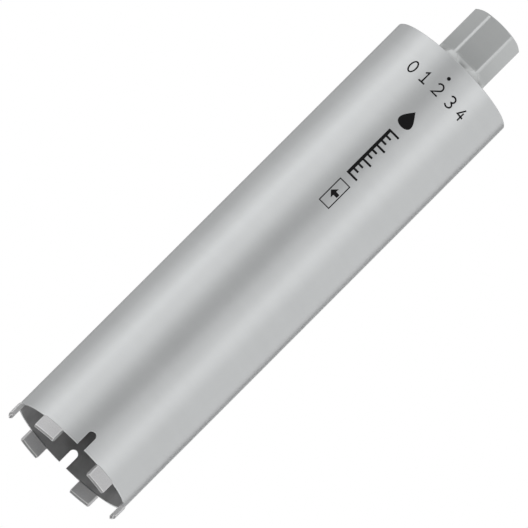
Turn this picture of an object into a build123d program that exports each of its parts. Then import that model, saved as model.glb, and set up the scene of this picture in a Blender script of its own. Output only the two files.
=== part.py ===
"""Diamond core bit: a thin steel barrel, six diamond segments on its rim and a threaded hub.

It stands on the tips of its segments, with +Z along its axis up to the hub.
The origin is the middle of the plane that the tips stand on. Angles count from -Y.
"""
import os
from math import acos, cos, sin

from build123d import *

# Cutting diameter, over the outer faces of the segments
CUT_DIAMETER = 112.0

# Segments: blocks curved with the rim, with parallel ends and a roof-shaped tip
SEGMENT_COUNT = 6
SEGMENT_THICKNESS = 3.5
SEGMENT_LENGTH = 20.0
SEGMENT_HEIGHT = 11.5
SEGMENT_TIP_HEIGHT = 1.6
SEGMENT_TIP_LAND = 0.4
SEGMENT_CORNER_CHAMFER = 0.3

# Barrel: tube with its wall centred over the segments
BARREL_WALL = 2.0
BARREL_LENGTH = 410.1
BARREL_SHOULDER_CHAMFER = 0.5

# Water slots in the rim
SLOT_COUNT = 2
SLOT_WIDTH = 7.0
SLOT_LENGTH = 15.2

# Seat of the cap in the end of the barrel, and the groove for the weld round it
SEAT_STEP = 0.5
SEAT_CLEARANCE = 0.05
WELD_GROOVE = 0.4

# Hub: cap, flared neck and hexagon
CAP_THICKNESS = 8.0
HUB_HEIGHT = 51.2
HEX_ACROSS_FLATS = 41.0
HEX_CORNER_DIAMETER = 46.1
HUB_CHAMFER_WIDTH = 3.0
HUB_CHAMFER_DROP = 1.6

# Neck: each flat ends on a narrow step, and below it the hexagon flares out and turns round before the cap
NECK_HEIGHT = 11.2
FLAT_STEP = 0.8
FLAT_FLARE_RADIUS = 15.0

# Bore at the inner diameter of the spindle thread, 1 1/4 inch with 7 turns to the inch
BORE_DIAMETER = 28.2
THREAD_DIAMETER = 31.75
COUNTERSINK_MARGIN = 0.4

# How far a cutting shape reaches past the surface that it cuts
PAST = 1.0

# Sizes that follow from the ones above
WALL_MIDDLE = (CUT_DIAMETER - SEGMENT_THICKNESS) / 2
BARREL_OUTER = WALL_MIDDLE + BARREL_WALL / 2
BARREL_INNER = WALL_MIDDLE - BARREL_WALL / 2
RIM_Z = SEGMENT_HEIGHT
SHOULDER_Z = RIM_Z + BARREL_LENGTH
CAP_Z = SHOULDER_Z - CAP_THICKNESS
NECK_TOP_Z = SHOULDER_Z + NECK_HEIGHT
HUB_END_Z = SHOULDER_Z + HUB_HEIGHT
SEAT_RADIUS = BARREL_INNER + SEAT_STEP
CAP_RADIUS = SEAT_RADIUS - SEAT_CLEARANCE
FLAT_PAIRS = 3


def face_of(*outline):
    """Face inside an outline whose points are distance from the axis and height."""
    return Plane.XZ * make_face(Curve() + list(outline))


def turned(*outline):
    """Solid of revolution about the axis."""
    return revolve(face_of(*outline), Axis.Z)


def flare(side, radius):
    """Concave arc from the cap's face, which it touches level, up to the neck's top, with its two ends."""
    turn = acos(1 - NECK_HEIGHT / radius)
    low = (side + radius * sin(turn), SHOULDER_Z)
    high = (side, NECK_TOP_Z)
    middle = (low[0] - radius * sin(turn / 2), SHOULDER_Z + radius * (1 - cos(turn / 2)))
    return ThreePointArc(low, middle, high), low, high


def water_slot():
    """Round-ended cutter at angle zero, open towards the rim and reaching through one wall."""
    reach = BARREL_OUTER + PAST
    round_z = RIM_Z + SLOT_LENGTH - SLOT_WIDTH / 2
    half = SLOT_WIDTH / 2
    round_end = ThreePointArc((-half, round_z), (0, round_z + half), (half, round_z))
    sides = Polyline((half, round_z), (half, RIM_Z - PAST), (-half, RIM_Z - PAST), (-half, round_z))
    return extrude(face_of(round_end, sides), reach, dir=(0, -1, 0))


def barrel():
    """Tube with the cap's seat turned into its upper end and the water slots cut into its rim."""
    tube = turned(Polyline(
        (BARREL_INNER, RIM_Z),
        (BARREL_OUTER, RIM_Z),
        (BARREL_OUTER, SHOULDER_Z - BARREL_SHOULDER_CHAMFER),
        (BARREL_OUTER - BARREL_SHOULDER_CHAMFER, SHOULDER_Z),
        (SEAT_RADIUS + WELD_GROOVE, SHOULDER_Z),
        (SEAT_RADIUS, SHOULDER_Z - WELD_GROOVE),
        (SEAT_RADIUS, CAP_Z),
        (BARREL_INNER, CAP_Z),
        close=True))
    for number in range(SLOT_COUNT):
        tube -= Rot(0, 0, number * 360 / SLOT_COUNT) * water_slot()
    return tube


def turned_hub():
    """Hub before the hexagon is cut: cap, flared neck and round body with its end chamfer."""
    side = HEX_CORNER_DIAMETER / 2
    neck, low, high = flare(side, NECK_HEIGHT)
    body = Polyline(
        high,
        (side, HUB_END_Z - HUB_CHAMFER_DROP),
        (side - HUB_CHAMFER_WIDTH, HUB_END_Z),
        (0, HUB_END_Z),
        (0, CAP_Z),
        (CAP_RADIUS, CAP_Z),
        (CAP_RADIUS, SHOULDER_Z - WELD_GROOVE),
        (CAP_RADIUS - WELD_GROOVE, SHOULDER_Z),
        low)
    return turned(neck, body)


def pair_of_flats():
    """Bar as wide as the cap, with two opposite flats of the hexagon, each with its step and flare."""
    flat = HEX_ACROSS_FLATS / 2
    neck, low, high = flare(flat + FLAT_STEP, FLAT_FLARE_RADIUS)
    reach = CAP_RADIUS + PAST
    top = HUB_END_Z + PAST
    bottom = CAP_Z - PAST
    side = Polyline(
        high, (flat, NECK_TOP_Z), (flat, top), (0, top),
        (0, bottom), (reach, bottom), (reach, SHOULDER_Z), low)
    half = face_of(neck, side)
    return extrude(half + mirror(half, Plane.YZ), reach, dir=(0, 1, 0), both=True)


def spindle_bore():
    """Cutter for the through bore, with a countersink at each end."""
    bore = BORE_DIAMETER / 2
    depth = THREAD_DIAMETER / 2 + COUNTERSINK_MARGIN - bore
    mouth = bore + depth + PAST
    return turned(Polyline(
        (0, CAP_Z - PAST), (mouth, CAP_Z - PAST), (bore, CAP_Z + depth),
        (bore, HUB_END_Z - depth), (mouth, HUB_END_Z + PAST), (0, HUB_END_Z + PAST),
        close=True))


def hub():
    """One forging: the turned body with six flats, the first at angle zero, bored through."""
    body = turned_hub()
    for number in range(FLAT_PAIRS):
        body &= Rot(0, 0, 90 + number * 180 / FLAT_PAIRS) * pair_of_flats()
    return body - spindle_bore()


def segment():
    """One segment at angle zero: a ring under the rim, cut to length by parallel planes."""
    inner = WALL_MIDDLE - SEGMENT_THICKNESS / 2
    outer = WALL_MIDDLE + SEGMENT_THICKNESS / 2
    land = SEGMENT_TIP_LAND / 2
    ring = turned(Polyline(
        (inner, RIM_Z),
        (inner, SEGMENT_TIP_HEIGHT),
        (WALL_MIDDLE - land, 0),
        (WALL_MIDDLE + land, 0),
        (outer, SEGMENT_TIP_HEIGHT),
        (outer, RIM_Z),
        close=True))
    slab = Pos(0, -CUT_DIAMETER / 2, RIM_Z / 2) * Box(SEGMENT_LENGTH, CUT_DIAMETER, RIM_Z + 2 * PAST)
    block = ring & slab
    return chamfer(block.edges().filter_by(Axis.Z), SEGMENT_CORNER_CHAMFER)


def main():
    """Writes each piece to its own file."""
    os.makedirs("parts", exist_ok=True)
    export_step(barrel(), "parts/barrel.step")
    export_step(hub(), "parts/hub.step")
    block = segment()
    for number in range(SEGMENT_COUNT):
        turn = Rot(0, 0, (number + 0.5) * 360 / SEGMENT_COUNT)
        export_step(turn * block, f"parts/segment_{number + 1}.step")


main()
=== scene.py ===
"""Diamond core bit: the finish of every surface, the printed marks and a plain studio.

The packed model is the frame. Sizes are in metres, +Z is the axis from the cutting end up to the hub,
and angles round the axis count from -Y towards +X.
"""
import math

import bpy
import numpy as np
from bpy.props import FloatProperty, FloatVectorProperty, IntProperty, PointerProperty
from bpy.types import Operator, Panel, PropertyGroup
from mathutils import Matrix, Vector


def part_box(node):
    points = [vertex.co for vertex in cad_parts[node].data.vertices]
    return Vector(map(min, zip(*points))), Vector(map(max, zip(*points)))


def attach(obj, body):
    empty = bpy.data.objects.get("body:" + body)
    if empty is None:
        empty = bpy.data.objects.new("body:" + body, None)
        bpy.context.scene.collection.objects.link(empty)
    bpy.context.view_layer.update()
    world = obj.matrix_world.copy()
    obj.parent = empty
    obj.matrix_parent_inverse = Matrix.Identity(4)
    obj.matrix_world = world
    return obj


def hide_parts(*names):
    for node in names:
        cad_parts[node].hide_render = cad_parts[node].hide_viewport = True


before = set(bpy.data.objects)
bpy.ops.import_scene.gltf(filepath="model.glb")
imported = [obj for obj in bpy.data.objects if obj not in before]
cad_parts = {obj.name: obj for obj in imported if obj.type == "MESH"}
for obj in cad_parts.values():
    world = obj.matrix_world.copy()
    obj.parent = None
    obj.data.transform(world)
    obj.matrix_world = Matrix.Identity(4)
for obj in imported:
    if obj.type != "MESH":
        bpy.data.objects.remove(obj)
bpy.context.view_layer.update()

bl_info = {
    "name": "Diamond core bit",
    "version": (1, 0, 0),
    "blender": (4, 5, 0),
    "location": "3D View > Sidebar > Core Bit",
    "description": "Makes the visible pieces of a diamond core bit round its packed model",
    "category": "Object",
}

# Places that the packed model gives
RIM_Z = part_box("barrel")[0][2]
SHOULDER_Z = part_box("barrel")[1][2]
CAP_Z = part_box("hub")[0][2]
HUB_END_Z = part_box("hub")[1][2]
BARREL_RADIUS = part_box("barrel")[1][0]
CAP_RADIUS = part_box("hub")[1][0]
SEGMENTS = sorted(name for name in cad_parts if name.startswith("segment"))
BODY = "root"
MM = 0.001


def length(name, description, default):
    """Property that holds a size in metres."""
    return FloatProperty(
        name=name, description=description, default=default, subtype="DISTANCE", unit="LENGTH")


def color(name, description, default):
    """Property that holds a colour in linear light."""
    return FloatVectorProperty(
        name=name, description=description, default=default, subtype="COLOR", size=3, min=0, max=1)


def rotation(name, description, degrees):
    """Property that holds an angle."""
    return FloatProperty(
        name=name, description=description, default=math.radians(degrees),
        subtype="ANGLE", unit="ROTATION")


class BarrelSettings(PropertyGroup):
    """Sizes and colours of the barrel."""
    wall: length("Wall", "Thickness of the tube's wall", 2.0 * MM)
    slot_width: length("Slot width", "Width of a water slot", 7.0 * MM)
    slot_length: length("Slot length", "Length of a water slot from the rim", 15.2 * MM)
    shoulder: length("Shoulder", "Chamfer of the tube's upper edge", 0.5 * MM)
    seat_step: length("Seat step", "Depth of the cap's seat in the wall", 0.5 * MM)
    groove: length("Groove", "Bevel beside the weld round the cap", 0.4 * MM)
    edge: length("Edge", "Rounding of the rim's cut edges", 0.2 * MM)
    slots: IntProperty(name="Slots", description="Number of water slots", default=2, min=1)
    paint: color("Paint", "Silver paint of the outside", (0.528, 0.539, 0.543))
    steel: color("Steel", "Bare steel of the inside and of rubbed edges", (0.585, 0.585, 0.589))
    # Width of the bright band beside the rim and the slots: partly rubbing, partly painted highlight
    wear_and_painted_light: length("Wear", "How far the paint is rubbed off beside the rim and the slots", 0.6 * MM)


class HubSettings(PropertyGroup):
    """Sizes and colours of the hub."""
    across_flats: length("Across flats", "Width of the hexagon", 41.0 * MM)
    corner_diameter: length("Corner diameter", "Turned diameter of the hexagon's corners", 46.1 * MM)
    neck_height: length("Neck height", "Height of the flared neck above the barrel", 11.2 * MM)
    flat_step: length("Flat step", "Depth of the step that each flat ends on", 0.8 * MM)
    flat_flare: length("Flat flare", "Concave radius below the flats", 15.0 * MM)
    chamfer_width: length("Chamfer width", "Chamfer of the end, along the radius", 3.0 * MM)
    chamfer_drop: length("Chamfer drop", "Chamfer of the end, along the axis", 1.6 * MM)
    groove: length("Groove", "Bevel beside the weld round the cap", 0.4 * MM)
    edge: length("Edge", "Rounding of the edges", 0.18 * MM)
    thread_diameter: length("Thread diameter", "Outer diameter of the spindle thread", 31.75 * MM)
    bore_diameter: length("Bore diameter", "Inner diameter of the spindle thread", 28.2 * MM)
    countersink: length("Countersink", "How much wider than the thread its mouth is", 0.4 * MM)
    pitch: length("Pitch", "Distance from one turn of the thread to the next", 25.4 / 7 * MM)
    paint: color("Paint", "Silver paint of the outside", (0.458, 0.470, 0.469))
    steel: color("Steel", "Machined steel of the thread", (0.3, 0.3, 0.305))
    # Painted highlight, partly rubbing: this colour brightens the hexagon's corners and the flare of the
    # neck beside them
    rubbed_and_highlight: color("Rubbed", "Paint where hands and spanners rub it bright", (0.59, 0.602, 0.6))
    # Painted shade: this colour darkens the hollow below each flat and the foot of each flat, where shade
    # falls
    hollow_shade: color("Dirt", "Dull film in the hollow below each flat", (0.28, 0.287, 0.286))


class SegmentSettings(PropertyGroup):
    """Sizes and colours of the segments and their welds."""
    length: length("Length", "Length of a segment along the rim", 20.0 * MM)
    thickness: length("Thickness", "Thickness of a segment, across the wall", 3.5 * MM)
    tip_height: length("Tip height", "Height of the roof-shaped tip", 1.6 * MM)
    tip_land: length("Tip land", "Width of the tip's ridge", 0.4 * MM)
    rounding: length("Rounding", "Rounding of a segment's edges", 0.3 * MM)
    grain: length("Grain", "How far the grains stand out of the surface", 0.02 * MM)
    weld: length("Weld", "Size of the weld bead under a segment's edge", 0.55 * MM)
    # Width of the bright lines: partly rubbing, partly painted highlight
    wear_and_painted_light: length("Wear", "Width of the bright line along a worn edge", 0.4 * MM)
    metal: color("Sintered metal", "Grey of the sintered metal", (0.6, 0.6, 0.607))
    ground: color("Ground", "Metal of the ground ends", (0.53, 0.53, 0.535))
    # Painted highlight, partly rubbing: the colour of the bright lines along the tip's edges and the ends
    rubbed_and_highlight: color("Rubbed", "Metal of the worn edges", (0.88, 0.88, 0.88))
    # Partly bare metal, partly painted shade: the colour of the tip's darker slopes
    raw_and_shade: color("Raw", "Metal of the ground tips", (0.33, 0.33, 0.334))
    grit: color("Grit", "Pale grains in the metal", (0.72, 0.71, 0.66))


class MarkSettings(PropertyGroup):
    """Sizes, places and colour of the printed marks."""
    ink: color("Ink", "Black of the print", (0.005, 0.005, 0.0055))
    stroke: length("Stroke", "Width of a printed line", 1.3 * MM)
    dot: length("Dot", "Radius of the dot", 1.5 * MM)
    dot_z: length("Dot height", "Height of the dot above the tips", 407.6 * MM)
    dial_z: length("Dial height", "Height of the dial's middle above the tips", 396.2 * MM)
    drop_z: length("Drop height", "Height of the drop above the tips", 363.8 * MM)
    scale_z: length("Scale height", "Height of the scale's middle above the tips", 325.6 * MM)
    frame_z: length("Frame height", "Height of the frame's middle above the tips", 284.2 * MM)


class StudioSettings(PropertyGroup):
    """Camera, floor and light."""
    tilt: rotation("Tilt", "How far the open end turns towards the camera", 10.86)
    roll: rotation("Roll", "Turn of the picture that puts the axis on its diagonal", 45)
    lens: FloatProperty(
        name="Lens", description="Focal length of the camera", default=1600, subtype="DISTANCE_CAMERA")
    frame_width: length("Frame width", "Width of the picture at the object", 395.95 * MM)
    aim_x: length("Aim X", "Point in the picture's middle, X", 0.13 * MM)
    aim_z: length("Aim Z", "Point in the picture's middle, Z", 218.63 * MM)
    ambient: FloatProperty(name="Ambient", description="Strength of light from all sides", default=0.35)
    floor: color("Floor", "Pale grey of the floor", (0.8, 0.8, 0.8))


def grid_faces(rows, columns, closed_rows=False, closed_columns=False):
    """Quads between neighbours in a grid of vertices, numbered row by row."""
    row = np.arange(rows if closed_rows else rows - 1)
    column = np.arange(columns if closed_columns else columns - 1)
    i, j = np.meshgrid(row, column, indexing="ij")
    below, beside = (i + 1) % rows, (j + 1) % columns
    corners = (i * columns + j, i * columns + beside, below * columns + beside, below * columns + j)
    return np.stack(corners, axis=-1).reshape(-1, 4)


def joining_faces(faces, partner):
    """Quads from each open edge of one wall to the same edge of the wall behind it."""
    edges = np.concatenate([faces[:, [k, (k + 1) % 4]] for k in range(4)])
    keys = np.sort(edges, axis=1)
    _, first, count = np.unique(keys, axis=0, return_index=True, return_counts=True)
    start, end = edges[first[count == 1]].T
    front = start < partner[start]
    start, end = start[front], end[front]
    return np.stack([end, start, partner[start], partner[end]], axis=1)


def unit(vectors):
    """The vectors, each at length 1."""
    return vectors / np.linalg.norm(vectors, axis=1, keepdims=True)


def full_turn(steps):
    """Angles evenly spaced round a circle."""
    return np.linspace(0, 2 * np.pi, steps, endpoint=False)


def walked(path):
    """Distance along a path from its first point to each one."""
    return np.append(0, np.cumsum(np.linalg.norm(np.diff(path, axis=0), axis=1)))


def solid_along(loops):
    """Closed skin over outlines of one even number of points, with a ladder of quads at both ends."""
    rows, around = loops.shape[:2]
    left = np.arange(around // 2)
    right = around - 1 - left
    ladder = np.stack([left[:-1], right[:-1], right[1:], left[1:]], axis=1)
    skin = grid_faces(rows, around, closed_columns=True)
    faces = np.concatenate([skin, ladder, ladder[:, ::-1] + (rows - 1) * around])
    return loops.reshape(-1, 3), faces


def joined(parts):
    """One array of points and one of faces from several."""
    counts = np.cumsum([0] + [len(points) for points, _ in parts])
    points = np.concatenate([points for points, _ in parts])
    faces = np.concatenate([faces + start for (_, faces), start in zip(parts, counts)])
    return points, faces


def outward(points, faces):
    """The faces, all turned over if the volume inside them comes out negative."""
    a, b, c, d = (points[faces[:, k]] for k in range(4))
    volume = np.sum(a * np.cross(b, c)) + np.sum(a * np.cross(c, d))
    return faces if volume > 0 else faces[:, ::-1]


def on_cylinder(radius, angle, height):
    """Points at a distance from the axis, an angle from -Y and a height."""
    radius, angle, height = np.broadcast_arrays(radius, angle, height)
    return np.stack([radius * np.sin(angle), -radius * np.cos(angle), height], axis=-1)


def turned(points, angle):
    """The points, turned about the axis."""
    c, s = np.cos(angle), np.sin(angle)
    return points @ np.array([[c, s, 0], [-s, c, 0], [0, 0, 1]])


def add_object(name, data):
    """Adds an object to the scene."""
    thing = bpy.data.objects.new(name, data)
    bpy.context.scene.collection.objects.link(thing)
    return thing


def add_mesh(name, points, faces, materials):
    """Adds an object with a mesh to the scene."""
    mesh = bpy.data.meshes.new(name)
    mesh.from_pydata(points, [], faces)
    for material in materials:
        mesh.materials.append(material)
    return add_object(name, mesh)


def make_piece(name, points, faces, materials, slot, kinds=None, wear_and_painted_light=None):
    """Adds a closed mesh to the object. kinds is the number of each face's material.

    wear_and_painted_light is a number for each point: 1 where the surface is bright from rubbing and painted
    highlights, -1 where painted shade darkens it.
    """
    used, places = np.unique(faces, return_inverse=True)
    points, faces = points.reshape(-1, 3)[used], places.reshape(faces.shape)
    piece = add_mesh(name, points, outward(points, faces), materials)
    mesh = piece.data
    mesh.shade_smooth()
    if kinds is not None:
        mesh.polygons.foreach_set("material_index", kinds.astype(np.int32))
    if wear_and_painted_light is not None:
        layer = mesh.attributes.new("wear_and_painted_light", "FLOAT", "POINT")
        layer.data.foreach_set("value", wear_and_painted_light.ravel()[used].astype(np.float32))
    mesh.update()
    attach(piece, BODY)
    return piece


def round_edges(piece, width, angle):
    """Rounds each edge that turns more than this angle, and keeps the faces beside it flat."""
    bevel = piece.modifiers.new("Edges", "BEVEL")
    bevel.width = width
    bevel.segments = 2
    bevel.limit_method = "ANGLE"
    bevel.angle_limit = math.radians(angle)
    bevel.harden_normals = True
    bevel.use_clamp_overlap = True


def feed(node, inputs):
    """Sets inputs of a node, each to a value or to another node's output."""
    for key, value in inputs.items():
        if isinstance(value, bpy.types.NodeSocket):
            node.id_data.links.new(value, node.inputs[key])
        else:
            node.inputs[key].default_value = value


def add_node(tree, kind, inputs=None, **settings):
    """Adds a node to a tree, with its settings and inputs."""
    node = tree.nodes.new(kind)
    for key, value in settings.items():
        setattr(node, key, value)
    feed(node, inputs or {})
    return node


def empty_material(name):
    """A new material without nodes."""
    material = bpy.data.materials.new(name)
    material.use_nodes = True
    material.node_tree.nodes.clear()
    return material


class Finish:
    """A material under construction, with its nodes."""

    def __init__(self, name, metallic=0.0, roughness=0.5, specular=0.5):
        self.material = empty_material(name)
        self.shader = self.add(
            "ShaderNodeBsdfPrincipled",
            {"Metallic": metallic, "Roughness": roughness, "Specular IOR Level": specular})
        self.output = self.add("ShaderNodeOutputMaterial", {"Surface": self.shader.outputs[0]})
        self.place = self.add("ShaderNodeTexCoord").outputs["Object"]

    def add(self, kind, inputs=None, **settings):
        """Adds a node to the material."""
        return add_node(self.material.node_tree, kind, inputs, **settings)

    def noise(self, size, detail=2.0, stretch=(1, 1, 1)):
        """Noise with features of about this size, longer along an axis where stretch is under 1."""
        place = self.add("ShaderNodeMapping", {"Vector": self.place, "Scale": stretch}).outputs[0]
        inputs = {"Vector": place, "Scale": 1 / size, "Detail": detail}
        return self.add("ShaderNodeTexNoise", inputs).outputs[0]

    def spread(self, value, low, high, start=0.3, end=0.7):
        """The value from start to end, as a number from low to high."""
        inputs = {"Value": value, "From Min": start, "From Max": end, "To Min": low, "To Max": high}
        return self.add("ShaderNodeMapRange", inputs).outputs[0]

    def blend(self, share, first, second):
        """Colour between two colours."""
        inputs = {0: share}
        for key, value in ((6, first), (7, second)):
            inputs[key] = value if isinstance(value, bpy.types.NodeSocket) else (*value, 1)
        return self.add("ShaderNodeMix", inputs, data_type="RGBA").outputs[2]

    def tinted(self, pattern, tone, low, high):
        """The tone times a factor from low to high that follows a pattern."""
        return self.blend(self.spread(pattern, 0.0, 1.0), shade(tone, low), shade(tone, high))

    def sum(self, *terms):
        """Sum of outputs, each times its own weight."""
        total = 0.0
        for value, weight in terms:
            inputs = {0: value, 1: weight, 2: total}
            total = self.add("ShaderNodeMath", inputs, operation="MULTIPLY_ADD").outputs[0]
        return total

    def worn_and_lit(self, surface, rubbed_and_highlight, painted_shade):
        """The surface's colour, turned bright where the wear_and_painted_light attribute is 1, from rubbing
        and painted highlights, and turned to painted shade where it is -1.
        """
        wear_and_painted_light = self.add("ShaderNodeAttribute", attribute_name="wear_and_painted_light").outputs["Fac"]
        patchy = self.sum((wear_and_painted_light, 1.0), (self.spread(self.noise(1.5 * MM), -0.15, 0.15), wear_and_painted_light))
        bright = self.blend(self.spread(patchy, 0.0, 1.0, 0.0, 1.0), surface, rubbed_and_highlight)
        return self.blend(self.spread(patchy, 1.0, 0.0, -1.0, 0.0), bright, painted_shade)

    def complete(self, surface, roughness, height, depth):
        """Connects colour, roughness and a bump of this depth, and returns the material."""
        relief = {"Height": height, "Distance": depth, "Strength": 1.0}
        bump = self.add("ShaderNodeBump", relief).outputs[0]
        feed(self.shader, {"Base Color": surface, "Roughness": roughness, "Normal": bump})
        return self.material


def shade(tone, factor):
    """A colour times a factor."""
    return tuple(min(channel * factor, 1.0) for channel in tone)


def silver_paint(name, tone, rubbed_and_highlight, painted_shade):
    """Fine silver paint: small flakes, soft orange peel, faint bands round the axis, and edges made bright
    by rubbing and painted highlights, with painted shade where the attribute is negative.
    """
    finish = Finish(name, metallic=0.7)
    flakes = finish.noise(0.22 * MM, 1.0)
    peel = finish.noise(1.6 * MM)
    bands = finish.noise(6 * MM, 3.0, stretch=(0.04, 0.04, 1.0))
    clouds = finish.noise(45 * MM)
    paint = finish.tinted(finish.sum((flakes, 0.5), (bands, 0.2), (clouds, 0.3)), tone, 0.955, 1.045)
    roughness = finish.spread(finish.sum((peel, 0.6), (clouds, 0.4)), 0.33, 0.39)
    relief = finish.sum((peel, 0.7), (flakes, 0.3))
    return finish.complete(finish.worn_and_lit(paint, rubbed_and_highlight, painted_shade), roughness, relief, 0.006 * MM)


def bare_steel(name, tone, roughness=0.55, metallic=0.12, shaded_from=None):
    """Steel with fine turning lines round the axis and a few darker stains, with painted shade above a
    height where one is given.
    """
    finish = Finish(name, metallic=metallic)
    lines = finish.noise(0.35 * MM, 3.0, stretch=(0.02, 0.02, 1.0))
    surface = finish.tinted(finish.noise(14 * MM, 4.0), tone, 0.8, 1.1)
    if shaded_from is not None:
        # Painted shade: the colour darkens from this height up, deeper inside the tube where shade falls
        height = finish.add("ShaderNodeSeparateXYZ", {"Vector": finish.place}).outputs[2]
        fade, deep_shade = 15 * MM, shade(tone, 0.68)
        surface = finish.blend(finish.spread(height, 0.0, 1.0, shaded_from, shaded_from + fade), surface, deep_shade)
    rough = finish.spread(lines, roughness - 0.06, roughness + 0.06)
    return finish.complete(surface, rough, lines, 0.01 * MM)


def sintered_metal(name, tone, grit, rubbed_and_highlight, raw_and_shade, metallic=0.45, roughness=0.59):
    """Dull sintered metal with pale diamond grains, small pores, edges bright from rubbing and painted
    highlights, and slopes darkened by bare metal and painted shade.
    """
    finish = Finish(name, metallic=metallic)
    cells = {"Vector": finish.place, "Scale": 1 / (0.75 * MM)}
    crystal = finish.spread(finish.add("ShaderNodeTexVoronoi", cells).outputs[0], 1.0, 0.0, 0.16, 0.22)
    fine = finish.noise(0.25 * MM, 3.0)
    pores = finish.noise(0.9 * MM, 4.0)
    metal = finish.tinted(finish.sum((fine, 0.5), (pores, 0.5)), tone, 0.84, 1.12)
    surface = finish.blend(crystal, finish.worn_and_lit(metal, rubbed_and_highlight, raw_and_shade), grit)
    relief = finish.sum((fine, 0.5), (pores, 0.5), (crystal, 0.5))
    rough = finish.spread(pores, roughness - 0.07, roughness + 0.07)
    return finish.complete(surface, rough, relief, 0.03 * MM)


def print_ink(name, tone):
    """Matt black print with a slightly uneven film."""
    finish = Finish(name, specular=0.12)
    film = finish.noise(0.8 * MM, 3.0)
    surface = finish.tinted(film, tone, 0.7, 1.6)
    return finish.complete(surface, finish.spread(film, 0.55, 0.7), film, 0.004 * MM)


def weld_metal(name, tone):
    """Painted weld bead, a little duller and more uneven than the paint beside it."""
    finish = Finish(name, metallic=0.5)
    ripple = finish.noise(0.5 * MM, 3.0)
    surface = finish.tinted(finish.noise(2.5 * MM), tone, 0.86, 1.05)
    return finish.complete(surface, finish.spread(ripple, 0.42, 0.56), ripple, 0.02 * MM)


def barrel_shape(sizes):
    """Tube with round-ended slots: a profile of distance from the axis and height, carried round it.

    Columns stand at equal steps of the arch's angle inside a slot, x = -half width * cos(step), and at
    even angles between the slots. In a slot the profile's foot rises to the arch, height = half width *
    sin(step). Below the arch the skin is left out, and quads join the walls' open edges.
    """
    outer = BARREL_RADIUS
    inner = outer - sizes.wall
    seat = inner + sizes.seat_step
    half = sizes.slot_width / 2
    slot_steps, wall_steps, side_rows, arch_rows, upper_rows = 24, 150, 9, 11, 40
    step = np.linspace(0, np.pi, slot_steps + 1)
    columns = slot_steps + wall_steps

    # Heights of the outer wall's rows, which bend over the arch and are level again further up
    arch_foot = RIM_Z + sizes.slot_length - half
    level = arch_foot + 6 * half
    foot = np.full(columns, arch_foot)
    foot[:slot_steps + 1] += half * np.sin(step)
    foot = np.tile(foot, sizes.slots)
    lower = np.linspace(RIM_Z, arch_foot, side_rows - 1, endpoint=False)
    lower = np.insert(lower, 1, RIM_Z + sizes.wear_and_painted_light)[:, None] + 0 * foot
    share = np.linspace(0, 1, arch_rows - 1, endpoint=False)
    share = np.insert(share, 1, sizes.wear_and_painted_light / (level - foot.max()))[:, None]
    arches = foot + share * (level - foot)
    upper = np.linspace(level, SHOULDER_Z - sizes.shoulder, upper_rows)[:, None] + 0 * foot
    walls = np.concatenate([lower, arches, upper])

    # The profile goes up the outer wall, over the crown to the cap's seat, and down the inner wall
    crown_radius = np.array([outer - sizes.shoulder, seat + sizes.groove, seat, seat, inner])
    crown_height = np.array([SHOULDER_Z, SHOULDER_Z, SHOULDER_Z - sizes.groove, CAP_Z, CAP_Z])
    below_ledge = 2 * MM
    inner_walls = walls[::-1].copy()
    inner_walls[0] = CAP_Z - below_ledge
    height = np.concatenate([walls, crown_height[:, None] + 0 * foot, inner_walls])
    count = len(walls)
    radius = np.concatenate([np.full(count, outer), crown_radius, np.full(count, inner)])[:, None]

    # Angles of the columns in one slot and the wall beside it, and then round the whole tube
    in_slot = np.arcsin(-half * np.cos(step) / radius)
    side = np.arcsin(half / radius)
    pitch = 2 * np.pi / sizes.slots
    share = np.linspace(0, 1, wall_steps - 1)[1:-1]
    beside = sizes.wear_and_painted_light / (pitch * inner)
    between = side + np.concatenate([[beside], share, [1 - beside]]) * (pitch - 2 * side)
    angle = np.concatenate([in_slot, between], axis=1)
    angle = np.concatenate([angle + number * pitch for number in range(sizes.slots)], axis=1)

    # Faces, without those in a slot below its arch
    rows, around = height.shape
    faces = grid_faces(rows, around, closed_columns=True)
    row, column = faces[:, 0] // around, faces[:, 0] % columns
    is_open = (np.minimum(row, rows - 2 - row) < side_rows) & (column < slot_steps)
    faces, row = faces[~is_open], row[~is_open]
    partner = np.arange(rows * around).reshape(rows, around)[::-1].ravel()
    rim = joining_faces(faces, partner)
    is_inside = row >= count + len(crown_radius) - 1
    kinds = np.concatenate([is_inside, np.zeros(len(rim), bool)])

    # The rim, the slot's sides and its arch are brightened, outside and inside, partly by rubbing and partly
    # by a painted highlight
    place = np.arange(around) % columns
    wear_and_painted_light = np.zeros((rows, around))
    wear_and_painted_light[0] = 1
    wear_and_painted_light[:side_rows + 1, (place == 0) | (place == slot_steps)] = 1
    wear_and_painted_light[side_rows, place <= slot_steps] = 1
    wear_and_painted_light = np.maximum(wear_and_painted_light, wear_and_painted_light[::-1])
    return on_cylinder(radius, angle, height), np.concatenate([faces, rim]), kinds, wear_and_painted_light


# Points round the hub: places along a flat, from -1 to 1, and along a turned corner, from 0 to 1
SIDES = 6
ALONG_FLAT = np.linspace(-1, 1, 17)
ALONG_CORNER = np.linspace(0, 1, 7)[1:-1]


def hexagon_ring(apothem, corner):
    """Radius and angle of a hexagon with turned corners, one ring for each apothem and corner radius.

    A flat's points are evenly spaced along it, radius = apothem / cos(angle), and no further out than
    the circle of the corners.
    """
    apothem, corner = np.atleast_1d(apothem)[:, None], np.atleast_1d(corner)[:, None]
    side, least_reach = 2 * np.pi / SIDES, math.radians(2)
    reach = np.maximum(np.arccos(np.minimum(apothem / corner, 1)), least_reach)
    flat = np.arctan(ALONG_FLAT * np.tan(reach))
    turn = reach + ALONG_CORNER * (side - 2 * reach)
    angle = np.concatenate([flat, turn], axis=1)
    radius = np.concatenate([np.minimum(apothem / np.cos(flat), corner), corner + 0 * turn], axis=1)
    angle = np.concatenate([angle + number * side for number in range(SIDES)], axis=1)
    return np.tile(radius, SIDES), angle


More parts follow.
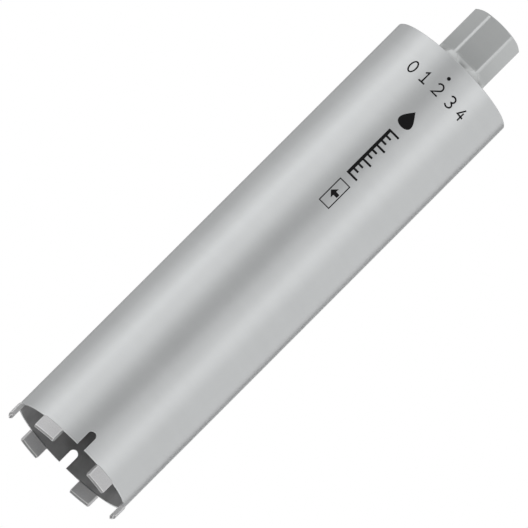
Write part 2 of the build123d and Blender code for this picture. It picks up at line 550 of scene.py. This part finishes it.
def flare(side, radius, top, height):
    """Distance from the axis of a concave arc that starts level at height 0 and reaches side at the top.

    It is side + radius * (sin(top's turn) - sin(turn)), where cos(turn) = 1 - height / radius.
    """
    turn, last = (np.arccos(np.clip(1 - value / radius, -1, 1)) for value in (height, top))
    return side + radius * (np.sin(last) - np.sin(turn))


def hub_shape(sizes):
    """Cap, flared neck, hexagon and bore: a closed profile carried round the axis.

    Each flat ends on a step, and the turned corners end a little lower, by up to corner_dip. Below that
    the flat and the corners flare out, each on its own arc, until the flat meets the round. The chamfer
    is a cone, and each flat ends where it meets the cone.
    """
    apothem, corner, neck = sizes.across_flats / 2, sizes.corner_diameter / 2, sizes.neck_height
    bore = sizes.thread_diameter / 2
    mouth = bore + sizes.countersink
    end = corner - sizes.chamfer_width
    slope = sizes.chamfer_drop / sizes.chamfer_width
    corner_dip, neck_rows = 0.4 * MM, 33
    hex_radius, hex_angle = hexagon_ring(apothem, corner)
    rings = []

    def add(radius, angle, height, between=0):
        """Adds a ring, and this many rings evenly spaced between the last one and it."""
        ring = on_cylinder(radius, angle, height)
        if between:
            share = np.linspace(0, 1, between + 2)[1:-1, None, None]
            rings.append(rings[-1][-1:] * (1 - share) + ring * share)
        rings.append(ring)

    height = neck * np.linspace(0, 1, neck_rows) ** 2
    neck_radius, neck_angle = hexagon_ring(
        flare(apothem + sizes.flat_step, sizes.flat_flare, neck, height),
        flare(corner, neck, neck, height))
    dip = np.tile(np.append(0 * ALONG_FLAT, np.sin(np.pi * ALONG_CORNER)), SIDES) * corner_dip
    height = height[:, None] - dip * (height[:, None] / neck) ** 2
    low_radius, low_angle = neck_radius[:1], neck_angle[:1]

    add(mouth, hex_angle, CAP_Z)
    add(CAP_RADIUS, low_angle, CAP_Z, between=8)
    add(CAP_RADIUS, low_angle, SHOULDER_Z - sizes.groove)
    add(CAP_RADIUS - sizes.groove, low_angle, SHOULDER_Z)
    add(low_radius, low_angle, SHOULDER_Z, between=8)
    add(neck_radius[1:], neck_angle[1:], SHOULDER_Z + height[1:])
    add(hex_radius, hex_angle, SHOULDER_Z + neck)
    add(hex_radius, hex_angle, HUB_END_Z - (hex_radius - end) * slope, between=16)
    add(end, hex_angle, HUB_END_Z, between=3)
    add(mouth, hex_angle, HUB_END_Z, between=3)
    add(bore, hex_angle, HUB_END_Z - sizes.countersink)
    outside_rows = sum(len(ring) for ring in rings) - 1
    add(bore, hex_angle, CAP_Z + sizes.countersink, between=20)

    points = np.concatenate(rings)
    rows, around = points.shape[:2]
    faces = grid_faces(rows, around, closed_rows=True, closed_columns=True)
    return points, faces, faces[:, 0] // around >= outside_rows, hub_wear_and_light(points, sizes)


def hub_wear_and_light(points, sizes):
    """Painted light on the hub, partly rubbing: painted highlights where hands and spanners rub it, and
    painted shade in the hollow below each flat.

    On the neck the flare beside each corner gets the strongest painted highlight. That fades towards the
    middle of the flat and down to the cap, and the corner itself is brightened a little. In a hollow the
    painted shade is darkest about two thirds of the way up, and falls off towards the step, the cap and
    the flat's sides. Above the neck a flat has a little painted shade at its step and a painted highlight
    that grows towards the hub's end, and corners are bright.
    """
    # Brightness of the corners, then shares of half a flat's width and of the neck's height, and painted
    # shade and highlight by height
    neck_corner, body_corner = 0.12, 0.26
    arm_from, arm_full, hollow_to = 0.4, 0.7, 0.75
    hollow_up, hollow_shade_by_height = [0, 0.35, 0.65, 0.8, 0.9, 1.0], [0, -0.5, -1.0, -0.4, 0.13, 0.0]
    flat_up, flat_light_by_height = [0, 0.01, 0.4, 1], [0, -0.2, 0.0, 0.16]

    place = np.tile(np.append(np.abs(ALONG_FLAT), np.ones_like(ALONG_CORNER)), SIDES)
    height, top, margin = points[:, :, 2] - SHOULDER_Z, HUB_END_Z - SHOULDER_Z, 0.01 * MM
    up_neck = np.clip(height / sizes.neck_height, 0, 1)
    up_body = np.clip((height - sizes.neck_height) / (top - sizes.neck_height), 0, 1)
    is_corner = place == 1
    # Painted highlight on the flare beside each corner, and a little on the corner itself
    arm = np.where(is_corner, neck_corner, np.clip((place - arm_from) / (1 - arm_from), 0, 1))
    arm = arm * np.clip(up_neck / arm_full, 0, 1)
    # Painted shade in the hollow below each flat, darkest about two thirds of the way up the neck
    hollow = np.clip(1 - (place / hollow_to) ** 2, 0, 1) * np.interp(up_neck, hollow_up, hollow_shade_by_height)
    # Above the neck: painted shade at a flat's step, a painted highlight growing towards the hub's end, and
    # corners bright from rubbing and painted highlight
    body = np.where(is_corner, body_corner, np.interp(up_body, flat_up, flat_light_by_height))
    wear_and_painted_light = np.where(height > sizes.neck_height + margin, body, arm + hollow)
    return np.where((height > 0) & (height < top - margin), wear_and_painted_light, 0.0)


def thread_shape(sizes):
    """Ridge of the spindle thread: a trapezium with flanks at 30 degrees, along a right-hand helix.

    Height grows by one pitch in a turn. Both mouths cut the ridge back to a cone at 45 degrees. Where it
    is cut away a hundredth of the section stays, so that no face shrinks to nothing. The ridge's foot is
    buried in the wall of the bore.
    """
    steps_a_turn, flank_points = 90, 6
    root_gap, left_over = 1 / 8, 0.01
    crest, root = sizes.bore_diameter / 2, sizes.thread_diameter / 2
    buried = root + 0.15 * MM
    flank = math.tan(math.radians(30))
    root_half = sizes.pitch * (1 - root_gap) / 2
    crest_half = root_half - (root - crest) * flank
    buried_half = root_half + (buried - root) * flank / 4
    share = np.linspace(0, 1, flank_points)
    up_radius = buried + (crest - buried) * share
    up_height = -buried_half + (buried_half - crest_half) * share
    section_radius = np.concatenate([up_radius, up_radius[::-1]])
    section_height = np.concatenate([up_height, -up_height[::-1]])

    low, high, margin = CAP_Z, HUB_END_Z, 0.03 * MM
    before, after = 0.3, 0.3
    turns = (high - low) / sizes.pitch + before + after
    angle = np.linspace(0, 2 * np.pi * turns, int(turns * steps_a_turn))[:, None]
    middle = low - before * sizes.pitch + sizes.pitch * angle / (2 * np.pi)
    height = np.clip(middle + section_height, low + margin, high - margin)
    mouth = root + sizes.countersink + margin
    cone = mouth - np.minimum(height - low, high - height)
    radius = np.maximum(section_radius, cone) + left_over * (section_radius - root)
    return solid_along(on_cylinder(radius, angle, height + left_over * section_height))


def rounded_outline(corners, rounding, steps=4):
    """Closed outline through corners, each rounded by an arc of its own radius.

    An arc's points turn evenly from its first to its last:
    centre + (first * sin((1 - share) * sweep) + last * sin(share * sweep)) / sin(sweep).
    """
    corners = np.asarray(corners, float)
    before = unit(np.roll(corners, 1, axis=0) - corners)
    after = unit(np.roll(corners, -1, axis=0) - corners)
    half = np.arccos(np.clip(np.sum(before * after, axis=1), -1, 1))[:, None] / 2
    rounding = np.array(rounding)[:, None]
    centre = corners + unit(before + after) * rounding / np.sin(half)
    first = (corners + before * rounding / np.tan(half) - centre)[:, None]
    last = (corners + after * rounding / np.tan(half) - centre)[:, None]
    sweep = (np.pi - 2 * half)[:, :, None]
    share = np.linspace(0, 1, steps)[None, :, None]
    arcs = (first * np.sin((1 - share) * sweep) + last * np.sin(share * sweep)) / np.sin(sweep)
    return (centre[:, None] + arcs).reshape(-1, 2)


def evenly_spaced(outline, count):
    """The closed outline again, with this many points at even distances along it."""
    closed = np.concatenate([outline, outline[:1]])
    distance = walked(closed)
    even = np.linspace(0, distance[-1], count, endpoint=False)
    return np.stack([np.interp(even, distance, closed[:, axis]) for axis in range(2)], axis=1)


def segment_shape(sizes, angle, seed):
    """Block curved with the rim: a roof-tipped outline carried along its length, with parallel ends.

    At a distance x along the rim a point keeps its distance from the axis: y = -sqrt(radius^2 - x^2).
    Seeded noise pushes the skin in and out by the size of the grain. The bright lines, partly rubbing and
    partly painted highlight, fall off with the distance from an edge, and the slopes of the tip go negative,
    partly bare metal and partly painted shade. The ends and the slopes have a material each.
    """
    middle = BARREL_RADIUS - bpy.context.scene.core_bit_barrel.wall / 2
    thickness, rounding, half, wide = sizes.thickness, sizes.rounding, sizes.length / 2, sizes.wear_and_painted_light
    inner, outer = middle - thickness / 2, middle + thickness / 2
    tip, land, seat_rounding = sizes.tip_height, sizes.tip_land / 2, 0.05 * MM
    outline_points, length_rows = 116, 80
    corners = np.array([(inner, tip), (middle - land, 0), (middle + land, 0), (outer, tip)])
    outline = rounded_outline(
        [(inner, RIM_Z), *corners, (outer, RIM_Z)],
        [seat_rounding, rounding, land, land, rounding, seat_rounding])
    outline = evenly_spaced(outline, outline_points)

    # Rows along the segment: two rings on each end, its rounded edge, and the length between
    bend = np.linspace(0, np.pi / 2, 5)[:-1]
    end_face = np.array([2 * wide, wide])
    inset_end = np.concatenate([rounding + end_face, rounding * (1 - np.sin(bend))])
    along_end = half - rounding * (1 - np.cos(np.concatenate([0 * end_face, bend])))
    along_middle = np.linspace(half - rounding, -half + rounding, length_rows)
    along = np.concatenate([along_end, along_middle, -along_end[::-1]])[:, None]
    inset = np.concatenate([inset_end, np.zeros(length_rows), inset_end[::-1]])[:, None]
    radius = middle + (outline[:, 0] - middle) * (1 - inset / (thickness / 2))
    height = RIM_Z / 2 + (outline[:, 1] - RIM_Z / 2) * (1 - inset / (RIM_Z / 2))

    # Grains stand out less on the ends, and not at all beside the weld
    end_grain, weld_margin = 0.3, 0.5 * MM
    grains = np.clip(np.random.default_rng(seed).normal(size=radius.shape), -1, 1)
    grains = grains * np.where(inset > 0, end_grain, 1.0) * (height < RIM_Z - weld_margin)
    pull = 1 - grains * sizes.grain / (thickness / 2) - sizes.grain / thickness
    radius = middle + (radius - middle) * pull
    points = np.stack([along + 0 * radius, -np.sqrt(radius**2 - along**2), height], axis=-1)

    line_core, end_line_wear_and_light, slope_shade = 1.3, 0.6, -0.8
    from_corner = np.linalg.norm(outline[:, None] - corners, axis=2).min(axis=1)
    from_end = np.maximum(half - rounding - np.abs(along), inset - rounding)
    # Bright lines along the tip's edges and the ends: partly rubbing, partly painted highlight
    tip_line = np.clip(line_core - from_corner / wide, 0, 1)
    end_line = np.clip(line_core - np.abs(from_end) / wide, 0, 1)
    is_side = inset <= rounding
    line = np.maximum(tip_line, end_line_wear_and_light * end_line) * is_side
    # The tip's slopes go darker: partly bare metal, partly painted shade
    slope = np.where(outline[:, 1] < tip, slope_shade, 0.0) * is_side
    wear_and_painted_light = slope + (1 - slope) * line

    points, faces = solid_along(turned(points, angle))
    rows, around = radius.shape
    row = faces // around
    is_end = (row.max(axis=1) <= len(end_face)) | (row.min(axis=1) >= rows - 1 - len(end_face))
    is_tip = points[faces, 2].max(axis=1) < tip + 0.01 * MM
    return points, faces, np.where(is_end, 1, np.where(is_tip, 2, 0)), wear_and_painted_light


def bead(path, outwards, size, seed):
    """Weld bead: a round section along a path, its size rippled by a sine and a little noise."""
    steps = 10
    ripple, ripple_length, noise = 0.09, 1.1 * MM, 0.04
    section = full_turn(steps)[None, :, None]
    wave = 1 + ripple * np.abs(np.sin(np.pi * walked(path) / ripple_length))
    wave += noise * np.random.default_rng(seed).normal(size=len(path))
    reach = (size * wave)[:, None, None]
    up = np.array([0, 0, 1])
    return path[:, None] + reach * (np.cos(section) * outwards[:, None] + np.sin(section) * up)


def segment_weld_shape(sizes, angle, seed):
    """Two thin beads in the corners between a segment's base and the barrel's wall, one on each side."""
    taper, least = 1.0 * MM, 0.15
    from_end, rows = 0.4 * MM, 90
    wall = bpy.context.scene.core_bit_barrel.wall
    half = sizes.length / 2 - from_end
    along = np.linspace(-half, half, rows)
    size = sizes.weld * np.sqrt(np.clip((half - np.abs(along)) / taper, least, 1))
    parts = []
    for side, radius in enumerate((BARREL_RADIUS, BARREL_RADIUS - wall)):
        lean = along / radius
        path, outwards = on_cylinder(radius, lean, RIM_Z), on_cylinder(1, lean, 0)
        parts.append(solid_along(bead(path, outwards, size, 2 * seed + side)))
    points, faces = joined(parts)
    return turned(points, angle), faces


def cap_weld_shape():
    """Low ring of weld between the barrel's end and the cap: an ellipse carried round the axis.

    Its height ripples with the size of a sine, every 1.1 mm, and its width wanders with two slow sines.
    """
    barrel = bpy.context.scene.core_bit_barrel
    radius = BARREL_RADIUS - barrel.wall + barrel.seat_step
    around, steps = 900, 12
    half_width, half_height, sunk = 0.85 * MM, 0.3 * MM, 0.12 * MM
    angle, section = full_turn(around)[:, None], full_turn(steps)
    wide = half_width * (1 + 0.05 * np.sin(7 * angle + 1) + 0.04 * np.sin(17 * angle))
    high = half_height * (1 + 0.1 * np.abs(np.sin(150 * angle)))
    up = SHOULDER_Z - sunk + high * np.sin(section)
    loops = on_cylinder(radius + wide * np.cos(section), angle, up)
    return loops.reshape(-1, 3), grid_faces(around, steps, closed_rows=True, closed_columns=True)


def stroke(points, width):
    """Flat band along a path, with mitred corners and a row of points at least every millimetre.

    At a corner the band's half width is divided by the cosine of half the turn.
    """
    points = np.asarray(points, float)
    runs = unit(np.diff(points, axis=0))
    before = np.concatenate([runs[:1], runs])
    across = unit(before + np.concatenate([runs, runs[-1:]]))
    stretch = 1 / np.maximum(np.sum(across * before, axis=1, keepdims=True), 0.5)
    across = np.stack([-across[:, 1], across[:, 0]], axis=1) * stretch * width / 2
    sheet = np.stack([points + across, points, points - across], axis=1)
    distance = walked(points)
    rows = np.unique(np.concatenate([distance, np.arange(0, distance[-1], MM)]).round(7))
    sides = sheet.reshape(len(points), -1).T
    sheet = np.stack([np.interp(rows, distance, side) for side in sides], axis=1)
    return sheet.reshape(-1, 2), grid_faces(len(rows), 3)


def filled(half, height, steps=10):
    """Flat shape that is the same left and right, from its half width at each height."""
    share = np.linspace(-1, 1, steps)
    sheet = np.stack([half[:, None] * share, height[:, None] + 0 * share], axis=-1)
    return sheet.reshape(-1, 2), grid_faces(len(half), steps)


def moved(shapes, right, up):
    """Flat shapes, moved along their plane."""
    return [(points + np.array([right, up]), faces) for points, faces in shapes]


def disc_grid(radius, steps):
    """Square grid bent into a disc: x = u * sqrt(1 - v^2 / 2), and y with u and v changed over."""
    u, v = np.meshgrid(np.linspace(-1, 1, steps), np.linspace(-1, 1, steps), indexing="ij")
    sheet = radius * np.stack([u * np.sqrt(1 - v**2 / 2), v * np.sqrt(1 - u**2 / 2)], axis=-1)
    return sheet.reshape(-1, 2), grid_faces(steps, steps)


def arc(middle, wide, tall, start, end):
    """Points on an ellipse, between two angles in degrees."""
    turn = np.radians(np.linspace(start, end, 24))
    return np.stack([wide * np.cos(turn), middle + tall * np.sin(turn)], axis=1)


def ring(wide, tall, line):
    """Closed band round an ellipse: the same ellipse three times, half a line apart."""
    steps, reach = 48, line * np.array([0.5, 0, -0.5])
    turn = full_turn(steps)[:, None]
    sheet = np.stack([(wide + reach) * np.cos(turn), (tall + reach) * np.sin(turn)], axis=-1)
    return sheet.reshape(-1, 2), grid_faces(steps, 3, closed_rows=True)


def figure(number, high, line):
    """Strokes of a plain figure from 0 to 4, in a box as tall as high."""
    top, wide = high / 2 - line / 2, 0.27 * high
    if number == 0:
        return [ring(wide, top, line)]
    if number == 1:
        return [stroke([(-0.8 * wide, 0.55 * top), (0, top), (0, -top + line / 2)], line),
                stroke([(-wide, -top), (wide, -top)], line)]
    if number == 2:
        bow = arc(top - wide, 0.95 * wide, wide, 160, -35)
        return [stroke([*bow, (-wide, -top), (wide, -top)], line)]
    if number == 3:
        upper = arc(0.5 * top, 0.9 * wide, 0.5 * top, 150, -75)
        lower = arc(-0.5 * top, wide, 0.5 * top, 75, -150)
        return [stroke(np.concatenate([upper, lower]), line)]
    bar, stem = -0.35 * top, 0.35 * wide
    return [stroke([(stem, top), (-wide, bar), (1.1 * wide, bar)], line),
            stroke([(stem, top - 2.2 * line), (stem, bar + line / 2)], line),
            stroke([(stem, bar - line / 2), (stem, -top - line / 2)], line)]


def dial_mark(mark):
    """Plain figures of a dial, from 0 to 4."""
    high, advance = 10.8 * MM, 13.2 * MM
    shapes = []
    for number in range(5):
        shapes += moved(figure(number, high, mark.stroke), (number - 2) * advance, 0)
    return shapes


def drop_mark():
    """Water drop: half width * sin(t) * sin(t / 2)^1.5 to each side, at half height * cos(t)."""
    half_width, half_height, cut = 8.8 * MM, 7.9 * MM, 0.06
    t = np.linspace(cut, np.pi - cut, 40)
    return [filled(half_width * np.sin(t) * np.sin(t / 2) ** 1.5, half_height * np.cos(t))]


def scale_mark(mark):
    """Depth scale along the axis: a bar with ten ticks, 5 mm apart, every third one long."""
    ticks, apart = 10, 5 * MM
    left, long, short = -5.2 * MM, 10.4 * MM, 6.8 * MM
    bar, tick = 2.0 * mark.stroke, 1.3 * mark.stroke
    half, edge = (ticks - 1) * apart / 2, left + bar
    shapes = [stroke([(edge - bar / 2, -half - tick / 2), (edge - bar / 2, half + tick / 2)], bar)]
    for number in range(ticks):
        up = -half + number * apart
        shapes.append(stroke([(edge, up), (left + (short if number % 3 else long), up)], tick))
    return shapes


def frame_mark(mark):
    """Frame with an arrow inside that shows which way the bit turns."""
    line = 0.65 * mark.stroke
    x, z = 5.3 * MM - line / 2, 11.8 * MM - line / 2
    shapes = [stroke([(side * x, -z - line / 2), (side * x, z + line / 2)], line) for side in (-1, 1)]
    shapes += [stroke([(line / 2 - x, side * z), (x - line / 2, side * z)], line) for side in (-1, 1)]
    back, point, wing, tail = 0.2 * MM, -3.9 * MM, 4.4 * MM, 3.7 * MM
    shaft = 2.4 * mark.stroke
    share = np.linspace(0.03, 1, 10)
    head, faces = filled(wing * share, (back - point) * share, 9)
    head = np.stack([head[:, 1] + point, head[:, 0]], axis=1)
    return [*shapes, stroke([(back, 0), (tail, 0)], shaft), (head, faces)]


def face_up(points, faces):
    """A flat shape, with its faces turned over if their area comes out negative."""
    a, b, c, d = (points[faces[:, k]] for k in range(4))
    first, second = c - a, d - b
    area = np.sum(first[:, 0] * second[:, 1] - first[:, 1] * second[:, 0])
    return points, faces if area > 0 else faces[:, ::-1]


def print_on_barrel(name, shapes, height, material):
    """Wraps flat shapes round the barrel, angle = distance to the right / radius, with a thin body."""
    lift, sink = 0.03 * MM, 0.06 * MM
    points, faces = joined([face_up(*shape) for shape in shapes])
    angle = points[:, 0] / BARREL_RADIUS
    walls = [on_cylinder(BARREL_RADIUS + reach, angle, height + points[:, 1]) for reach in (lift, -sink)]
    count = len(points)
    partner = np.concatenate([np.arange(count) + count, np.arange(count)])
    faces = np.concatenate([faces, faces[:, ::-1] + count, joining_faces(faces, partner)])
    make_piece(name, np.concatenate(walls), faces, [material], "black_print")


class COREBIT_OT_barrel(Operator):
    """Make the barrel: a thin steel tube with two water slots"""
    bl_idname = "corebit.barrel"
    bl_label = "Barrel"

    def execute(self, context):
        sizes = context.scene.core_bit_barrel
        # The lighter paint of the edges is partly rubbing and partly a painted highlight
        paint = silver_paint("barrel_silver_paint", sizes.paint, shade(sizes.paint, 1.25), sizes.paint)
        # Painted shade darkens the inside from 15 mm above the rim upwards
        steel = bare_steel("barrel_inner_steel", sizes.steel, shaded_from=RIM_Z + 15 * MM)
        points, faces, kinds, wear_and_painted_light = barrel_shape(sizes)
        piece = make_piece("barrel_tube", points, faces, [paint, steel], "silver_paint", kinds, wear_and_painted_light)
        round_edges(piece, sizes.edge, 40)
        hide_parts("barrel")
        return {"FINISHED"}


class COREBIT_OT_hub(Operator):
    """Make the hub: cap, neck and hexagon in one, and its spindle thread"""
    bl_idname = "corebit.hub"
    bl_label = "Hub"

    def execute(self, context):
        sizes = context.scene.core_bit_hub
        paint = silver_paint("hub_silver_paint", sizes.paint, sizes.rubbed_and_highlight, sizes.hollow_shade)
        steel = bare_steel("hub_thread_steel", sizes.steel, roughness=0.36, metallic=0.85)
        points, faces, kinds, wear_and_painted_light = hub_shape(sizes)
        piece = make_piece("hub_forging", points, faces, [paint, steel], "hub_steel", kinds, wear_and_painted_light)
        round_edges(piece, sizes.edge, 15)
        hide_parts("hub")
        make_piece("hub_thread", *thread_shape(sizes), [steel], "hub_steel")
        return {"FINISHED"}


class COREBIT_OT_segments(Operator):
    """Make the diamond segments, with the weld under each"""
    bl_idname = "corebit.segments"
    bl_label = "Segments"

    def execute(self, context):
        sizes = context.scene.core_bit_segment
        colors = sizes.grit, sizes.rubbed_and_highlight, sizes.raw_and_shade
        materials = [
            sintered_metal("segment_sintered_metal", sizes.metal, *colors),
            sintered_metal("segment_ground_ends", sizes.ground, *colors, metallic=0.62, roughness=0.45),
            sintered_metal("segment_ground_tips", sizes.metal, *colors, metallic=0.32, roughness=0.65),
        ]
        weld = weld_metal("segment_weld_metal", sizes.metal)
        for number, node in enumerate(SEGMENTS):
            low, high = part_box(node)
            angle = math.atan2(low[0] + high[0], -(low[1] + high[1]))
            points, faces, kinds, wear_and_painted_light = segment_shape(sizes, angle, number)
            piece = make_piece(f"{node}_block", points, faces, materials, "sintered_metal", kinds, wear_and_painted_light)
            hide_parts(node)
            points, faces = segment_weld_shape(sizes, angle, number)
            make_piece(f"{node}_weld", points, faces, [weld], "sintered_metal")
        return {"FINISHED"}


class COREBIT_OT_cap_weld(Operator):
    """Make the ring of weld between the barrel and the cap"""
    bl_idname = "corebit.cap_weld"
    bl_label = "Cap weld"

    def execute(self, context):
        weld = weld_metal("cap_weld_metal", context.scene.core_bit_barrel.paint)
        make_piece("cap_weld", *cap_weld_shape(), [weld], "silver_paint")
        return {"FINISHED"}


class COREBIT_OT_marks(Operator):
    """Print the plain marks on the barrel"""
    bl_idname = "corebit.marks"
    bl_label = "Printed marks"

    def execute(self, context):
        mark = context.scene.core_bit_mark
        ink = print_ink("black_ink", mark.ink)
        print_on_barrel("mark_dot", [disc_grid(mark.dot, 9)], mark.dot_z, ink)
        print_on_barrel("mark_dial", dial_mark(mark), mark.dial_z, ink)
        print_on_barrel("mark_drop", drop_mark(), mark.drop_z, ink)
        print_on_barrel("mark_scale", scale_mark(mark), mark.scale_z, ink)
        print_on_barrel("mark_frame", frame_mark(mark), mark.frame_z, ink)
        return {"FINISHED"}


# Strips round the object: angle from -Y and width in degrees, and radiance
LAMPS = (
    (-90, 15, 0.1),
    (-75, 15, 0.77),
    (-60, 15, 0.29),
    (-45, 15, 0.42),
    (22.5, 30, 0.1),
    (45, 15, 0.68),
    (60, 15, 0.35),
    (90, 15, 0.12),
    (122, 40, 0.06),
)
# Grey cards behind the lamps, which the metal reflects in place of the white background
CARDS = (
    (-169, 22, 0.2),
    (-150, 15, 0.56),
    (-127, 31, 0.635),
    (-30, 15, 0.9),
    (-7.5, 30, 0.555),
    (150, 15, 0.0),
    (165, 15, 0.9),
)
STRIP_REACH = 1.6
CARD_REACH = 1.1 * STRIP_REACH
STRIP_HEIGHT = 3.2
STRIP_MIDDLE = 0.236
# Square lamps under the floor, which light the inside of the tube: angle from -Y, drop and radiance
LOW_LAMPS = (
    (-105, 30, 1.3),
    (105, 30, 1.3),
)
LOW_LAMP_SIZE = 1.0


def soft_lamp(name, angle, drop, height, wide, tall, radiance):
    """Flat lamp round the object that faces its axis at a height, and can't be seen by the camera."""
    data = bpy.data.lights.new(name, "AREA")
    data.shape = "RECTANGLE"
    data.size, data.size_y = wide, tall
    data.energy = radiance * math.pi * wide * tall
    lamp = add_object(name, data)
    turn, fall = math.radians(angle), math.radians(drop)
    inwards = Vector((-math.sin(turn) * math.cos(fall), math.cos(turn) * math.cos(fall), math.sin(fall)))
    lamp.location = Vector((0, 0, height)) - inwards * STRIP_REACH
    lamp.rotation_euler = inwards.to_track_quat("-Z", "Y").to_euler()
    lamp.visible_camera = False


def stage_mesh(name, points, faces, material):
    """Adds a mesh that belongs to the studio."""
    thing = add_mesh(name, points, faces, [material])
    return thing


def grey_card(number, angle, sweep, tone):
    """Upright card that only reflections show."""
    material = empty_material(f"card_{number}")
    glow = add_node(material.node_tree, "ShaderNodeEmission", {"Color": (tone, tone, tone, 1)})
    add_node(material.node_tree, "ShaderNodeOutputMaterial", {"Surface": glow.outputs[0]})
    columns = 5
    turn = np.radians(angle + sweep * np.linspace(-0.5, 0.5, columns))
    height = STRIP_MIDDLE + STRIP_HEIGHT * np.array([[-0.5], [0.5]])
    points = on_cylinder(CARD_REACH, turn, height).reshape(-1, 3)
    card = stage_mesh(material.name, points, grid_faces(2, columns), material)
    card.visible_camera = card.visible_diffuse = card.visible_shadow = card.visible_transmission = False


def floor_material(tone):
    """Pale floor that is white from some distance on, sooner to the camera, and clear from below."""
    finish = Finish("floor_pale", roughness=0.9, specular=0.0)
    distance = finish.add("ShaderNodeVectorMath", {0: finish.place}, operation="LENGTH").outputs["Value"]
    lit = finish.spread(distance, 0.0, 1.0, 0.6, 2.2)
    seen = finish.spread(distance, 0.5, 1.0, 0.2, 1.45)
    by_camera = finish.add("ShaderNodeLightPath").outputs["Is Camera Ray"]
    far = finish.add("ShaderNodeMix", {0: by_camera, 2: lit, 3: seen}).outputs[0]
    feed(finish.shader, {"Base Color": finish.tinted(finish.noise(0.3), tone, 0.985, 1.015)})
    white = finish.add("ShaderNodeEmission", {"Color": (1, 1, 1, 1), "Strength": 1.0}).outputs[0]
    clear = finish.add("ShaderNodeBsdfTransparent").outputs[0]
    below = finish.add("ShaderNodeNewGeometry").outputs["Backfacing"]
    upper = finish.add("ShaderNodeMixShader", {0: far, 1: finish.shader.outputs[0], 2: white}).outputs[0]
    both = finish.add("ShaderNodeMixShader", {0: below, 1: upper, 2: clear}).outputs[0]
    feed(finish.output, {"Surface": both})
    return finish.material


def make_floor(tone):
    """Round floor in the plane of the tips, 8 m in radius."""
    points, faces = disc_grid(8, 41)
    floor = stage_mesh("floor", np.pad(points, ((0, 0), (0, 1))), faces, floor_material(tone))
    if floor.data.polygons[0].normal.z < 0:
        floor.data.flip_normals()
    floor.visible_shadow = floor.visible_glossy = False


def make_world(ambient):
    """Background that is white to the camera and in reflections, and an even soft light besides."""
    world = bpy.data.worlds.new("studio")
    world.use_nodes = True
    tree = world.node_tree
    path = add_node(tree, "ShaderNodeLightPath")
    seen = path.outputs["Is Camera Ray"]
    for key in ("Is Glossy Ray", "Is Transmission Ray"):
        either = {0: seen, 1: path.outputs[key]}
        seen = add_node(tree, "ShaderNodeMath", either, operation="MAXIMUM").outputs[0]
    level = add_node(tree, "ShaderNodeMapRange", {"Value": seen, "To Min": ambient, "To Max": 1.0})
    background = next(node for node in tree.nodes if node.type == "BACKGROUND")
    feed(background, {"Color": (1, 1, 1, 1), "Strength": level.outputs[0]})
    bpy.context.scene.world = world


def make_camera(studio):
    """Camera that looks up at the open end from below, rolled so that the axis is the diagonal."""
    data = bpy.data.cameras.new("camera")
    data.lens = studio.lens
    data.clip_end = 200
    camera = add_object("camera", data)
    forward = Vector((0, math.cos(studio.tilt), math.sin(studio.tilt)))
    level = Vector((1, 0, 0))
    right = level * math.cos(studio.roll) + level.cross(forward) * math.sin(studio.roll)
    up = right.cross(forward)
    distance = studio.frame_width * data.lens / data.sensor_width
    place = Vector((studio.aim_x, 0, studio.aim_z)) - forward * distance
    camera.matrix_world = Matrix.Translation(place) @ Matrix((right, up, -forward)).transposed().to_4x4()
    bpy.context.scene.camera = camera


class COREBIT_OT_studio(Operator):
    """Set up the floor, the lamps, the background and the camera"""
    bl_idname = "corebit.studio"
    bl_label = "Studio"

    def execute(self, context):
        studio = context.scene.core_bit_studio
        make_floor(studio.floor)
        make_world(studio.ambient)
        for number, (angle, sweep, radiance) in enumerate(LAMPS):
            wide = 2 * STRIP_REACH * math.tan(math.radians(sweep) / 2)
            soft_lamp(f"lamp_{number}", angle, 0, STRIP_MIDDLE, wide, STRIP_HEIGHT, radiance)
        for number, (angle, drop, radiance) in enumerate(LOW_LAMPS):
            soft_lamp(f"low_lamp_{number}", angle, drop, 0, LOW_LAMP_SIZE, LOW_LAMP_SIZE, radiance)
        for number, card in enumerate(CARDS):
            grey_card(number, *card)
        make_camera(studio)
        context.scene.view_settings.view_transform = "Standard"
        return {"FINISHED"}


OPERATORS = (
    COREBIT_OT_barrel,
    COREBIT_OT_hub,
    COREBIT_OT_segments,
    COREBIT_OT_cap_weld,
    COREBIT_OT_marks,
    COREBIT_OT_studio,
)
SETTINGS = {
    "core_bit_barrel": BarrelSettings,
    "core_bit_hub": HubSettings,
    "core_bit_segment": SegmentSettings,
    "core_bit_mark": MarkSettings,
    "core_bit_studio": StudioSettings,
}


class COREBIT_PT_panel(Panel):
    """Lists the steps and their sizes and colours"""
    bl_idname = "COREBIT_PT_panel"
    bl_label = "Diamond core bit"
    bl_space_type = "VIEW_3D"
    bl_region_type = "UI"
    bl_category = "Core Bit"

    def draw(self, context):
        for operator in OPERATORS:
            self.layout.operator(operator.bl_idname)
        for name, group in SETTINGS.items():
            box = self.layout.box()
            box.label(text=group.__doc__)
            for key in group.__annotations__:
                box.prop(getattr(context.scene, name), key)


def register():
    for group in (*SETTINGS.values(), *OPERATORS, COREBIT_PT_panel):
        bpy.utils.register_class(group)
    for name, group in SETTINGS.items():
        setattr(bpy.types.Scene, name, PointerProperty(type=group))


def unregister():
    for name in SETTINGS:
        delattr(bpy.types.Scene, name)
    for group in (COREBIT_PT_panel, *reversed(OPERATORS), *reversed(SETTINGS.values())):
        bpy.utils.unregister_class(group)


def main():
    """Makes every piece and the studio."""
    register()
    bpy.ops.corebit.barrel()
    bpy.ops.corebit.hub()
    bpy.ops.corebit.segments()
    bpy.ops.corebit.cap_weld()
    bpy.ops.corebit.marks()
    bpy.ops.corebit.studio()


if __name__ == "__main__":
    main()
